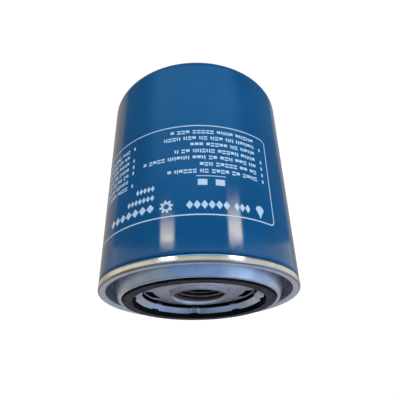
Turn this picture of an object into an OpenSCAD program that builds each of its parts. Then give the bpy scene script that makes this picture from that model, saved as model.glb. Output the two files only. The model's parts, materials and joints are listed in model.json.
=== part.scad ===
// Spin-on engine oil filter: a drawn steel can closed by a threaded base plate,
// with a pleated element, an anti-drainback valve and a bypass valve inside.
// Millimetres. +Z points out of the gasket end. The origin is the centre of the
// gasket's sealing face, on the thread's axis, so all of the filter lies below z = 0.

/* [Can] */
// Outer radius of the can's straight wall
can_r = 39; // [38.5:0.1:41]
// Height from the dome's resting ring to the gasket face
filter_h = 93.5; // [88:0.5:110]
// Outer radius of the dome's corner
dome_corner_r = 4.6; // [3.5:0.1:5.5]
// Depth of the shallow recess in the middle of the dome
dome_recess = 1.5; // [0.8:0.1:2]

/* [Gasket and lid] */
// Outer radius of the gasket
gasket_r_out = 29.7; // [29.4:0.1:30]
// Inner radius of the gasket
gasket_r_in = 25.8; // [25.6:0.1:26.4]
// How far the gasket stands above the lid's lip
gasket_proud = 0.5; // [0.3:0.1:0.8]
// Angle of the first of the lid's gasket-retaining crimps
crimp_angle = 39; // [30:1:50]
// Number of crimps
crimp_count = 8; // [4:1:8]

/* [Base plate] */
// Radius of the hub's bore, at the root of an M20 x 1.5 thread
thread_r = 10; // [9:0.5:10]
// Radius of the circle that the inlet slots lie on
inlet_pitch_r = 20.4; // [20:0.1:20.8]
// Width of each inlet slot
inlet_w = 3.2; // [2:0.1:4.5]
// Length of each inlet slot, from end to end
inlet_l = 10.8; // [6:0.1:14]
// Number of inlet slots
inlet_count = 5; // [3:1:6]
// Angle of the middle of the first inlet slot
inlet_angle = 16; // [10:1:22]

/* [Element] */
// Number of pleats in the filter paper
pleat_count = 48; // [32:1:50]
// Thickness of the filter paper
paper_t = 0.6; // [0.4:0.05:0.65]
// Number of holes around the centre tube
tube_holes_round = 8; // [4:1:10]
// Number of rows of holes along the centre tube
tube_rows = 7; // [3:1:8]

/* [Valves] */
// Lift of the bypass poppet at full flow
bypass_lift = 3; // [1:0.5:4]
// Number of turns in the bypass spring
bypass_turns = 6; // [4:0.5:7]

/* [Hidden] */
$fn = 96;
eps = 0.01;

// Sheet thicknesses
can_t = 0.5;
lid_t = 0.6;
cap_t = 0.5;
slip = 0.05;          // gap between parts that only just clear each other

// Double seam, from the can's mouth outwards. Each layer's radius is its centre line.
seam_r = can_r + 0.1;                            // outside of the finished seam
seam_wall_r = seam_r - lid_t / 2;                // lid, outermost layer
body_hook_r = seam_r - lid_t - slip - can_t / 2; // can, turned down
cover_hook_r = body_hook_r - can_t / 2 - slip - lid_t / 2;
body_wall_r = cover_hook_r - lid_t / 2 - slip - can_t / 2;
chuck_r = body_wall_r - can_t / 2 - slip - lid_t / 2;
seam_top = -2.6;
seam_bottom = -5.6;
fold_r = (seam_wall_r - cover_hook_r) / 2;       // centre-line radius of the lid's folds
body_hook = 0.35;                                // length of each hook past its fold
cover_hook = 0.55;
neck_start = seam_bottom - 1.6;                  // the can's wall turns in here
neck_end = seam_bottom - can_t / 2 - 0.1;        // and its shoulder ends under the seam
sealant_r = 0.12;

// Dome
dome_z = -filter_h;
floor_z = dome_z + can_t;                        // inside of the dome's resting ring
recess_r = 26.2;
recess_foot_r = 28.2;

// Lid levels and radii
lip_z = -gasket_proud;
channel_z = -4.5;                                // floor of the gasket's channel
plate_top = channel_z - lid_t;                   // the lid is welded to the plate here
groove_z = -7.5;                                 // floor of the groove beside the seam
flange_r = gasket_r_in - 0.4;                    // centre line of the inner flange
flange_top = -1.75;
flange_bend = 0.9;
hem_fold = 0.4;                                  // centre line of the fold at the flange's top
hem_fall = 43;                                   // slope of the hem towards the axis
hem_w = 2.65;
hem_root = 0.8;                                  // part of the flange that a crimp moves
channel_wall_r = gasket_r_out + slip + lid_t / 2;
channel_bend = 0.6;
lip_fold = 0.45;
collar_foot_r = channel_wall_r + 3.25;           // where the lid's cone meets the groove
groove_bend = 0.5;                               // size of the groove's two corners
crimp_arc = 8;                                   // angle that a crimp takes
crimp_side = 0.5;                                // and how far its sides run into the hem
crimp_in = 0.45;                                 // how far it is pressed towards the axis
crimp_down = 0.25;                               // and towards the plate
gasket_foot = 0.7;                               // corner radii of the gasket
gasket_edge = 0.35;

// Base plate
plate_t = 3.2;
plate_under = plate_top - plate_t;
rim_top = groove_z - lid_t;
rim_under = rim_top - plate_t;
plate_r = chuck_r - 0.1;                         // drops in through the can's mouth
step_r = channel_wall_r + 0.85;                  // edge of the plate's raised middle
step_bevel = 0.5;
step_under = 1.6;
hub_r = thread_r + 3.2;
hub_end = -16;
collar_r = thread_r + 1.2;                       // collar round the thread's mouth
collar_top = -2.3;
collar_fillet = 1;
collar_round = 0.25;
lead_in = 0.8;                                   // width of the cone into the thread
thread_start = -4.0;
thread_run_out = 0.6;

// Element
tube_r_in = 15.9;
tube_r_out = 16.5;
cap_r = 34.5;
cap_rim = 4.5;
cap_top = -16.5;
cap_bottom = floor_z + 10;
neck_r_in = 15.1;
neck_top = -14.4;
potting_t = 1.2;
pleat_r_in = 17.2;
pleat_r_out = 33.4;
fold_gap = 0.1;
media_top = cap_top - cap_t - potting_t;
media_bottom = cap_bottom + cap_t + potting_t;
clip_t = 0.3;
clip_depth = 6.5;                                // how far the clip reaches down its pleat
tube_hole_r = 2.1;

// Anti-drainback valve
flap_r_in = 16.3;
flap_r_out = 26.6;
flap_t = 1.1;
flap_root_z = -11.8;
flap_lip = 1.5;                                  // width of the lip on the plate
flap_edge = 0.8;                                 // height of the lip's outer edge
collar_gap = 0.3;                                // between the sleeve and the skirt
sleeve_foot = 0.3;                               // how far the sleeve reaches past the cap

// Bypass valve
bypass_hole_r = 7;
seat_w = 1.2;
seat_top = cap_bottom + cap_t + 0.5;
seal_t = 0.8;
seal_r_in = 6;
poppet_t = 0.8;
poppet_r = 10.2;
boss_h = 2.4;
cage_r = 11.8;
cage_h = 14;
cage_top = cap_bottom + cap_t + cage_h;
cage_hole_r = 3;
window_w = 9;
window_sill = 2.5;                               // below each window in the cage's wall
window_head = 3.5;                               // above it
spring_r = 4.8;
wire_r = 0.5;
seat_washer_t = 0.6;
spring_touch = 0.02;                             // gap at each end of the spring
spring_low = seat_top + slip + seal_t + poppet_t + wire_r + spring_touch;
spring_high = cage_top - cap_t - seat_washer_t - wire_r - spring_touch;
steps_per_turn = 14;
wire_sides = 8;
closed_turns = 0.75;                             // end turns lying flat, at each end

// Load spring
leaf_t = 0.6;
leaf_w = 9;
leaf_count = 4;
hoop_r_in = 9;
hoop_r_out = 17.5;

function polar(r, a) = [r * cos(a), r * sin(a)];

// --- 2D helpers, in the (radius, height) plane ---

// A strip of sheet between two points, t thick, with round ends.
module strip(p, q, t) {
    d = q - p;
    translate(p) rotate(atan2(d.y, d.x)) translate([0, -t / 2]) square([norm(d), t]);
    translate(p) circle(d = t);
    translate(q) circle(d = t);
}

// A run of sheet through a list of points.
module sheet(points, t) {
    for (i = [0 : len(points) - 2]) strip(points[i], points[i + 1], t);
}

// A bend in the sheet: part of a ring about c, from angle a0 to a1.
module bend(c, r, t, a0, a1) {
    far = 2 * (r + t);
    mid = (a0 + a1) / 2;
    translate(c) intersection() {
        difference() {
            circle(r = r + t / 2);
            circle(r = r - t / 2);
        }
        polygon([[0, 0], far * [cos(a0), sin(a0)], far * [cos(mid), sin(mid)],
                 far * [cos(a1), sin(a1)]]);
    }
}

// A rectangle from (r0, z0) to (r1, z1).
module block(r0, z0, r1, z1) {
    translate([r0, z0]) square([r1 - r0, z1 - z0]);
}

// A ring with a rectangular section.
module ring(r0, r1, z0, z1) {
    rotate_extrude() block(r0, z0, r1, z1);
}

module around(count, first = 0) {
    for (i = [0 : count - 1]) rotate(first + 360 * i / count) children();
}

// --- Shell ---

// Drawn can: recessed dome, straight wall, necked mouth and body hook.
module can() {
    wall_r = can_r - can_t / 2;
    corner = [can_r - dome_corner_r, dome_z + dome_corner_r];
    hook_turn = [cover_hook_r, seam_top - lid_t - slip - can_t / 2 - fold_r];
    neck_in = wall_r - body_wall_r;
    neck_up = neck_end - neck_start;
    color("royalblue") rotate_extrude() {
        // dome
        block(0, dome_z + dome_recess, recess_r, floor_z + dome_recess);
        sheet([[recess_r, dome_z + dome_recess + can_t / 2],
               [recess_foot_r, dome_z + can_t / 2],
               [corner.x, dome_z + can_t / 2]], can_t);
        bend(corner, dome_corner_r - can_t / 2, can_t, 270, 360);
        // wall and neck
        sheet([[wall_r, corner.y], [wall_r, neck_start],
               [wall_r - 0.1 * neck_in, neck_start + 0.55 * neck_up],
               [wall_r - 0.45 * neck_in, neck_start + 0.9 * neck_up],
               [body_wall_r, neck_end],
               [body_wall_r, hook_turn.y]], can_t);
        // body hook
        bend(hook_turn, fold_r, can_t, 0, 180);
        strip([body_hook_r, hook_turn.y], [body_hook_r, hook_turn.y - body_hook], can_t);
    }
}

// Retainer pressed from sheet: hemmed inner flange, gasket channel, lip, collar, groove
// and the outer part of the double seam.
module seaming_lid() {
    channel_mid = channel_z - lid_t / 2;
    flange_turn = [flange_r + flange_bend, channel_mid + flange_bend];
    wall_turn = [channel_wall_r - channel_bend, channel_mid + channel_bend];
    lip_turn = [channel_wall_r + lip_fold, lip_z - lid_t / 2 - lip_fold];
    groove_mid = groove_z - lid_t / 2;
    top_in = [chuck_r + fold_r, seam_top - lid_t / 2 - fold_r];
    top_out = [seam_wall_r - fold_r, top_in.y];
    hook_turn = [body_hook_r, seam_bottom + lid_t / 2 + fold_r];
    color("lightsteelblue") {
        rotate_extrude() {
            block(flange_r - lid_t / 2, flange_turn.y, flange_r + lid_t / 2,
                  flange_top - lid_t / 2 - hem_fold);
            bend(flange_turn, flange_bend, lid_t, 180, 270);
            block(flange_turn.x, channel_z - lid_t, wall_turn.x, channel_z);
            bend(wall_turn, channel_bend, lid_t, 270, 360);
            block(channel_wall_r - lid_t / 2, wall_turn.y, channel_wall_r + lid_t / 2,
                  lip_turn.y);
            bend(lip_turn, lip_fold, lid_t, 0, 180);
            sheet([[lip_turn.x + lip_fold, lip_turn.y],
                   [collar_foot_r, groove_mid + groove_bend],
                   [collar_foot_r + groove_bend, groove_mid],
                   [chuck_r - groove_bend, groove_mid],
                   [chuck_r, groove_mid + groove_bend],
                   [chuck_r, top_in.y]], lid_t);
            bend(top_in, fold_r, lid_t, 90, 180);
            block(top_in.x, seam_top - lid_t, top_out.x, seam_top);
            bend(top_out, fold_r, lid_t, 0, 90);
            block(seam_wall_r - lid_t / 2, hook_turn.y, seam_r, top_out.y);
            bend(hook_turn, fold_r, lid_t, 180, 360);
            strip([cover_hook_r, hook_turn.y],
                  [cover_hook_r, hook_turn.y + cover_hook], lid_t);
        }
        difference() {
            rotate_extrude() hem();
            around(crimp_count, crimp_angle) crimp_sector(crimp_arc);
        }
        around(crimp_count, crimp_angle) intersection() {
            rotate_extrude() translate([-crimp_in, -crimp_down]) hem();
            crimp_sector(crimp_arc + crimp_side);
        }
    }
}

// Top of the inner flange, folded over so that its raw edge hangs above the plate.
module hem() {
    turn = [flange_r - hem_fold, flange_top - lid_t / 2 - hem_fold];
    start = turn + hem_fold * [cos(90 + hem_fall), sin(90 + hem_fall)];
    block(flange_r - lid_t / 2, turn.y - hem_root, flange_r + lid_t / 2, turn.y);
    bend(turn, hem_fold, lid_t, 0, 90 + hem_fall);
    strip(start, start - hem_w * [cos(hem_fall), sin(hem_fall)], lid_t);
}

// The wedge of space that one crimp takes.
module crimp_sector(arc) {
    reach = gasket_r_out;
    translate([0, 0, plate_top]) linear_extrude(-plate_top)
        polygon([[0, 0], polar(reach, -arc / 2), polar(reach, arc / 2)]);
}

// Sealing compound in the top corner of the double seam.
module seam_sealant() {
    color("seagreen") rotate_extrude()
        translate([body_wall_r - 0.1, seam_top - lid_t - 0.06 - sealant_r]) circle(r = sealant_r);
}

// Square-cut gasket with eased corners.
module gasket() {
    foot = gasket_foot;
    top = gasket_edge;
    color([0.12, 0.12, 0.13]) rotate_extrude() {
        block(gasket_r_in, channel_z + foot, gasket_r_out, -top);
        block(gasket_r_in + foot, channel_z, gasket_r_out - foot, channel_z + foot + eps);
        block(gasket_r_in + top, -top - eps, gasket_r_out - top, 0);
        translate([gasket_r_in + foot, channel_z + foot]) circle(r = foot);
        translate([gasket_r_out - foot, channel_z + foot]) circle(r = foot);
        translate([gasket_r_in + top, -top]) circle(r = top);
        translate([gasket_r_out - top, -top]) circle(r = top);
    }
}

// Stepped base plate with inlet slots, and a hub for the thread that stands up
// as a collar above the plate and reaches down into the element.
module base_plate() {
    color("lightslategray") difference() {
        rotate_extrude() polygon([
            [thread_r + thread_run_out, hub_end], [thread_r, hub_end + thread_run_out],
            [thread_r, thread_start], [thread_r + lead_in, collar_top],
            [collar_r - collar_round, collar_top], [collar_r, collar_top - collar_round],
            each [for (a = [180 : 15 : 270])
                [collar_r + collar_fillet, plate_top + collar_fillet]
                    + collar_fillet * [cos(a), sin(a)]],
            [step_r, plate_top], [step_r + step_bevel, plate_top - step_bevel],
            [step_r + step_bevel, rim_top], [plate_r, rim_top], [plate_r, rim_under],
            [channel_wall_r, rim_under], [channel_wall_r - step_under, plate_under],
            [hub_r, plate_under], [hub_r, hub_end]]);
        around(inlet_count, inlet_angle)
            translate([0, 0, plate_under - 1]) linear_extrude(plate_t + 2) inlet_slot();
    }
}

// Outline of one inlet slot: a piece of a ring whose two ends bulge a little.
module inlet_slot() {
    intersection() {
        difference() {
            circle(r = inlet_pitch_r + inlet_w / 2);
            circle(r = inlet_pitch_r - inlet_w / 2);
        }
        translate([inlet_pitch_r, 0]) circle(d = inlet_l);
    }
}

// --- Anti-drainback valve ---

// Sleeve between the hub and the element's neck, sealing both.
module anti_drainback_collar() {
    inner = hub_r + slip;
    shoulder = flap_r_in - collar_gap;
    color("darkorange") rotate_extrude() {
        block(inner, neck_top, shoulder, plate_under);
        block(inner, cap_top - sleeve_foot, neck_r_in - slip, neck_top + eps);
    }
}

// Skirt whose lip lies under the plate, outside the inlet slots.
module anti_drainback_flap() {
    lip_z = plate_under - slip;
    lip_in = flap_r_out - flap_lip;
    color("orange") rotate_extrude() polygon([
        [flap_r_in, flap_root_z - flap_t], [flap_r_in, flap_root_z],
        [lip_in, lip_z], [flap_r_out - 0.2, lip_z], [flap_r_out, lip_z - flap_edge],
        [lip_in + 0.3, lip_z - flap_t]]);
}

// --- Element ---

module top_end_cap() {
    color("silver") {
        ring(neck_r_in, cap_r, cap_top - cap_t, cap_top);
        ring(neck_r_in, neck_r_in + cap_t, cap_top - eps, neck_top);
        ring(cap_r - cap_t, cap_r, cap_top - cap_rim, cap_top - cap_t + eps);
    }
}

// Its raised bead round the middle hole is the bypass valve's seat.
module bottom_end_cap() {
    under = cap_bottom;
    color("silver") {
        ring(bypass_hole_r, cap_r, under, under + cap_t);
        ring(bypass_hole_r, bypass_hole_r + seat_w, under + cap_t - eps, seat_top);
        ring(cap_r - cap_t, cap_r, under + cap_t - eps, under + cap_rim);
    }
}

// Perforated tube that keeps the paper from collapsing.
module centre_tube() {
    low = cap_bottom + cap_t;
    high = cap_top - cap_t;
    pitch = (high - low) / (tube_rows + 1);
    color("gainsboro") difference() {
        ring(tube_r_in, tube_r_out, low, high);
        for (row = [1 : tube_rows])
            around(tube_holes_round, (row % 2) * 180 / tube_holes_round)
                translate([tube_r_in - 1, 0, low + row * pitch])
                    rotate([0, 90, 0]) cylinder(r = tube_hole_r, h = 3);
    }
}

// Angle that an arc of length s takes at radius r.
function spread(s, r) = s / r * 180 / PI;

// One side of the pleated paper. out is its radius at the folds' peaks, in is its
// radius at their valleys, and the half widths are the paper's there.
function pleat_side(out, in, peak_half, valley_half) = [
    for (i = [0 : pleat_count - 1]) let (pitch = 360 / pleat_count, a = i * pitch)
        each [polar(out, a - spread(peak_half, out)),
              polar(out, a + spread(peak_half, out)),
              polar(in, a + pitch / 2 - spread(valley_half, in)),
              polar(in, a + pitch / 2 + spread(valley_half, in))]
];

module filter_media() {
    color("burlywood") translate([0, 0, media_bottom])
        linear_extrude(media_top - media_bottom) difference() {
            polygon(pleat_side(pleat_r_out, pleat_r_in + paper_t, fold_gap + paper_t, fold_gap));
            polygon(pleat_side(pleat_r_out - paper_t, pleat_r_in, fold_gap, fold_gap + paper_t));
        }
}

// Folded strip over one peak, where the paper's two ends meet.
module media_seam_clip() {
    pleat_half = PI / pleat_count;
    valley_r = pleat_r_in + paper_t;
    peak_half = fold_gap + paper_t;
    // half width of the pleat's outside, this far in from its peak
    inner_r = pleat_r_out - clip_depth;
    inner_half = peak_half
        + (pleat_half * valley_r - fold_gap - peak_half) * clip_depth / (pleat_r_out - valley_r);
    top_r = pleat_r_out + slip;
    color("silver") translate([0, 0, media_bottom]) linear_extrude(media_top - media_bottom)
        polygon([
            [inner_r, inner_half + slip], [inner_r, inner_half + slip + clip_t],
            [top_r, peak_half + slip + clip_t], [top_r + clip_t, peak_half],
            [top_r + clip_t, -peak_half], [top_r, -peak_half - slip - clip_t],
            [inner_r, -inner_half - slip - clip_t], [inner_r, -inner_half - slip],
            [top_r, -peak_half - slip], [top_r, peak_half + slip]]);
}

// Cured adhesive between the paper and an end cap.
module potting(z0) {
    color("dimgray") ring(tube_r_out + slip, cap_r - cap_t - slip, z0, z0 + potting_t);
}
module top_potting() { potting(media_top); }
module bottom_potting() { potting(media_bottom - potting_t); }

// --- Bypass valve ---

// Cup that stands on the bottom end cap and holds the spring down on the poppet.
module bypass_cage() {
    low = cap_bottom + cap_t;
    wall_in = cage_r - cap_t;
    color("darkgray") difference() {
        union() {
            ring(wall_in, tube_r_in - 0.3, low, low + cap_t);
            ring(wall_in, cage_r, low, cage_top);
            ring(cage_hole_r, cage_r, cage_top - cap_t, cage_top);
        }
        around(4) translate([wall_in - 1, -window_w / 2, low + window_sill])
            cube([3, window_w, cage_h - window_sill - window_head]);
    }
}

// Steel disc with a boss that centres the spring.
module bypass_poppet() {
    under = seat_top + slip + seal_t;
    color("gray") rotate_extrude() {
        block(0, under, poppet_r, under + poppet_t);
        block(0, under, spring_r - wire_r - 0.8, under + poppet_t + boss_h);
    }
}

// Rubber ring bonded under the poppet.
module bypass_seal() {
    color([0.15, 0.15, 0.15]) ring(seal_r_in, poppet_r - 0.4, seat_top + slip, seat_top + slip + seal_t);
}

// Washer between the spring and the cage.
module bypass_spring_seat() {
    top = cage_top - cap_t;
    color("darkkhaki") ring(cage_hole_r, spring_r + 1.6, top - seat_washer_t, top);
}

// Coil compression spring with closed ends, swept as a tube round a helix.
// Share of the rise reached at share u of the coil: flat in the end turns.
function rise(u) =
    let (end = closed_turns / bypass_turns, closed = 2.12 * wire_r * closed_turns)
    let (free = spring_high - spring_low - 2 * closed)
    (u < end ? closed * u / end
        : u > 1 - end ? closed + free + closed * (u - 1 + end) / end
        : closed + free * (u - end) / (1 - 2 * end)) / (spring_high - spring_low);

module bypass_spring() {
    rings = round(steps_per_turn * bypass_turns);
    points = [
        for (i = [0 : rings]) let (u = i / rings, a = 360 * bypass_turns * u)
            for (j = [0 : wire_sides - 1]) let (b = 360 * j / wire_sides,
                                                r = spring_r + wire_r * cos(b))
                [r * cos(a), r * sin(a),
                 spring_low + (spring_high - spring_low) * rise(u) + wire_r * sin(b)]
    ];
    sides = [
        for (i = [0 : rings - 1], j = [0 : wire_sides - 1])
            let (k = (j + 1) % wire_sides, a = i * wire_sides, b = a + wire_sides)
                [a + j, a + k, b + k, b + j]
    ];
    start = [for (j = [wire_sides - 1 : -1 : 0]) j];
    end = [for (j = [0 : wire_sides - 1]) rings * wire_sides + j];
    color("lightgray") polyhedron(points, concat([start], sides, [end]), convexity = 6);
}

// --- Load spring ---

// Pressed spider that pushes the element up against the base plate.
module load_spring() {
    top = cap_bottom;
    foot_z = floor_z + leaf_t / 2;
    color("slategray") {
        ring(hoop_r_in, hoop_r_out, top - leaf_t, top);
        around(leaf_count, 45) rotate([90, 0, 0]) translate([0, 0, -leaf_w / 2]) linear_extrude(leaf_w)
            sheet([[hoop_r_out - 2, top - leaf_t / 2], [recess_foot_r + 0.4, foot_z + 0.4],
                   [recess_foot_r + 1.4, foot_z], [recess_foot_r + 4, foot_z]], leaf_t);
    }
}

can();
base_plate();
seaming_lid();
seam_sealant();
gasket();
anti_drainback_collar();
anti_drainback_flap();
top_end_cap();
bottom_end_cap();
centre_tube();
filter_media();
media_seam_clip();
top_potting();
bottom_potting();
bypass_cage();
bypass_poppet();
bypass_seal();
bypass_spring();
bypass_spring_seat();
load_spring();
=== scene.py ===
"""The looks of a spin-on oil filter: painted can, pressed lid, gasket, thread and inner parts."""
import json
import math
import random

import bmesh
import bpy
from mathutils import Matrix, Vector


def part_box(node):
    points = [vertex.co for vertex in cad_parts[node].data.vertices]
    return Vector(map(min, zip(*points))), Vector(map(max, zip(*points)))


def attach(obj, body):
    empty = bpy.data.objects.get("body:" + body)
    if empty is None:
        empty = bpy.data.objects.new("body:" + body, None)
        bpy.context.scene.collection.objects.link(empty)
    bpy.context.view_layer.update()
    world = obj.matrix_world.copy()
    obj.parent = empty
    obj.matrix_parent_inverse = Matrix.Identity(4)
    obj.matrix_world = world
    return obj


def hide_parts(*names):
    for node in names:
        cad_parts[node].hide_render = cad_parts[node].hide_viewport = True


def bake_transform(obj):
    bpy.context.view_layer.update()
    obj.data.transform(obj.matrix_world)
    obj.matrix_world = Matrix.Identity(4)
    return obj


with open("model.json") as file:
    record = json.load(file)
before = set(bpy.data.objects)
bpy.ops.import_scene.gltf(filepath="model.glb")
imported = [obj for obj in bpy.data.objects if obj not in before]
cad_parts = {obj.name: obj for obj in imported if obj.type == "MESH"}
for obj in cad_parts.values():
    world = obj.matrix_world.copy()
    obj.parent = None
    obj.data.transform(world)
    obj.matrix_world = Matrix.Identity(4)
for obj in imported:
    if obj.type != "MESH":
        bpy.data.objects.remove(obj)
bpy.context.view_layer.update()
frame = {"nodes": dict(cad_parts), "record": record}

MM = 0.001


# --- Sizes, in millimetres, from the frame ---------------------------------------------

def box_mm(node):
    low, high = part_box(node)
    return low / MM, high / MM


def mount_mm(name, dim):
    return next(m for m in frame["record"]["mounts"] if m["name"] == name)["dims"][dim]


CAN_R = mount_mm("can_wall", "r_mm")
THREAD_R = mount_mm("stud_thread", "r_mm")
SEAM_R = box_mm("seaming_lid")[1].x
LIP_Z = box_mm("seaming_lid")[1].z
GASKET_R = box_mm("gasket")[1].x
GASKET_FOOT = box_mm("gasket")[0].z
FLOOR_Z = box_mm("can")[0].z
CAN_MOUTH_Z = box_mm("can")[1].z
PLATE_R = box_mm("base_plate")[1].x
COLLAR_TOP = box_mm("base_plate")[1].z
HUB_END = box_mm("base_plate")[0].z

# sheet thicknesses
CAN_T = 0.5
LID_T = 0.6
CAP_T = 0.5
PLATE_T = 3.2

# the lid's hem, its gasket channel, its groove and the double seam
GASKET_W = 3.9
GASKET_IN = GASKET_R - GASKET_W
HEM_R = GASKET_IN - 3.01                      # its free edge
PLATE_TOP = GASKET_FOOT - LID_T
CONE_FOOT_R = GASKET_R + 3.65
GROOVE_Z = -7.5
SEAM_TOP, SEAM_BOTTOM = -2.6, -5.6

# the hub's thread and the collar round its mouth
PITCH = 1.5
THREAD_DEPTH = 0.81
THREAD_START = COLLAR_TOP - 1.7
THREAD_END = HUB_END + 0.6
LEAD_IN = 0.8
COLLAR_R = THREAD_R + 1.2
HUB_R = THREAD_R + 3.2

# inlet slots, and the crimps in the lid's hem; angles in degrees
INLET_RING, INLET_W, INLET_ARC, INLET_COUNT, INLET_ANGLE = 20.4, 3.2, 21, 5, 16
CRIMP_COUNT, CRIMP_ANGLE, CRIMP_ARC, CRIMP_IN, CRIMP_DOWN = 8, 39, 8, 0.7, 0.3

PLEATS = 48
PAPER_T = 0.6


# --- Outlines in the (radius, height) plane --------------------------------------------

def rounded(corners, closed=False, support=0.2):
    """Points along a line through corners (r, z, bend radius). Each bend is an arc, and long
    straights get a point at support from each end, so that their shading stays flat."""
    turn, same = 10, 1e-4                     # degrees in one step, and mm between points
    pts = [Vector(c[:2]) for c in corners]
    out = []
    count = len(pts)
    for i, p in enumerate(pts):
        bend = corners[i][2] if len(corners[i]) > 2 else 0
        inner = closed or 0 < i < count - 1
        if not bend or not inner:
            out.append(p)
            continue
        a = (pts[i - 1] - p).normalized()
        b = (pts[(i + 1) % count] - p).normalized()
        half = a.angle(b) / 2
        reach = bend / math.tan(half)
        centre = p + (a + b).normalized() * (bend / math.sin(half))
        start = p + a * reach - centre
        sweep = math.pi - 2 * half
        if a.x * b.y - a.y * b.x > 0:
            sweep = -sweep
        steps = max(2, math.ceil(abs(math.degrees(sweep)) / turn))
        for k in range(steps + 1):
            out.append(centre + Matrix.Rotation(sweep * k / steps, 2) @ start)
    clean = [p for k, p in enumerate(out)
             if (p - out[k - 1]).length > same or (k == 0 and not closed)]
    line = []
    ends = clean[1:] + (clean[:1] if closed else [])
    for k, p in enumerate(clean):
        line.append(p)
        if k < len(ends) and (ends[k] - p).length > 4 * support:
            step = (ends[k] - p).normalized() * support
            line += [p + step, ends[k] - step]
    return line


def sheet(corners, t, ends=("round", "round")):
    """Closed outline of pressed sheet t thick, whose middle follows the corners."""
    steps = 8                                 # in a round end
    line = rounded(corners)
    normals = []
    for k, p in enumerate(line):
        before = (p - line[k - 1]).normalized() if k else Vector((0, 0))
        after = (line[k + 1] - p).normalized() if k < len(line) - 1 else Vector((0, 0))
        d = (before + after).normalized()
        normals.append(Vector((-d.y, d.x)) * t / 2)
    left = [p + n for p, n in zip(line, normals)]
    right = [p - n for p, n in zip(line, normals)]

    def cap(p, n, kind):
        if kind != "round":
            return []
        return [p + Matrix.Rotation(-math.pi * k / steps, 2) @ n for k in range(1, steps)]

    first, last = cap(line[0], -normals[0], ends[0]), cap(line[-1], normals[-1], ends[1])
    return left + last + right[::-1] + first


# --- Meshes ----------------------------------------------------------------------------

CREASE = 35                                   # degrees from which an edge stays sharp


def mesh_piece(name, verts, faces, sharp=CREASE):
    """A smooth-shaded object from points in millimetres, with its creases kept sharp."""
    mesh = bpy.data.meshes.new(name)
    mesh.from_pydata([tuple(c * MM for c in v) for v in verts], [], faces)
    mesh.validate()
    piece = bpy.data.objects.new(name, mesh)
    bpy.context.scene.collection.objects.link(piece)
    outward(piece)
    mesh.polygons.foreach_set("use_smooth", [True] * len(mesh.polygons))
    mesh.set_sharp_from_angle(angle=math.radians(sharp))
    return piece


def outward(piece):
    """Turns all faces to the outside."""
    bm = bmesh.new()
    bm.from_mesh(piece.data)
    bmesh.ops.recalc_face_normals(bm, faces=bm.faces)
    bm.to_mesh(piece.data)
    bm.free()


def lathe(name, outline, steps=256, shape=None):
    """Turns a closed outline about the thread's axis. shape(r, z, angle) may move a point."""
    on_axis = 1e-6
    verts, rings, faces = [], [], []
    for r, z in outline:
        if r < on_axis:
            rings.append([len(verts)] * steps)
            verts.append((0, 0, z))
            continue
        rings.append(range(len(verts), len(verts) + steps))
        for k in range(steps):
            a = 2 * math.pi * k / steps
            rr, zz = shape(r, z, a) if shape else (r, z)
            verts.append((rr * math.cos(a), rr * math.sin(a), zz))
    for low, high in zip(rings, rings[1:] + rings[:1]):
        if low[0] == low[1] and high[0] == high[1]:
            continue
        for k in range(steps):
            j = (k + 1) % steps
            corners = [low[k], low[j], high[j], high[k]]
            faces.append(tuple(dict.fromkeys(corners)))
    return mesh_piece(name, verts, faces)


def cut(piece, cutters):
    """Takes the cutters' shapes out of the piece, and removes them."""
    for cutter in cutters:
        modifier = piece.modifiers.new("cut", "BOOLEAN")
        modifier.operation = "DIFFERENCE"
        modifier.solver = "EXACT"
        modifier.object = cutter
    bpy.context.view_layer.update()
    graph = bpy.context.evaluated_depsgraph_get()
    mesh = bpy.data.meshes.new_from_object(piece.evaluated_get(graph))
    piece.modifiers.clear()
    piece.data = mesh
    for cutter in cutters:
        bpy.data.objects.remove(cutter)
    mesh.set_sharp_from_angle(angle=math.radians(CREASE))


def smooth_step(x, low, high):
    t = min(1, max(0, (x - low) / (high - low)))
    return t * t * (3 - 2 * t)


def place(piece, body, slot, mat, *nodes):
    """Rides the piece on its body in place of CAD nodes, with its material."""
    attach(piece, body)
    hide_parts(*nodes)
    piece.data.materials.append(mat)


# --- Materials -------------------------------------------------------------------------

def smooth_range(nodes, links, value, start_end, low_high):
    """A Map Range node that steps smoothly."""
    node = nodes.new("ShaderNodeMapRange")
    node.interpolation_type = "SMOOTHSTEP"
    links.new(value, node.inputs["Value"])
    sockets = ("From Min", "From Max", "To Min", "To Max")
    for socket, number in zip(sockets, (*start_end, *low_high)):
        node.inputs[socket].default_value = number
    return node.outputs["Result"]


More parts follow.
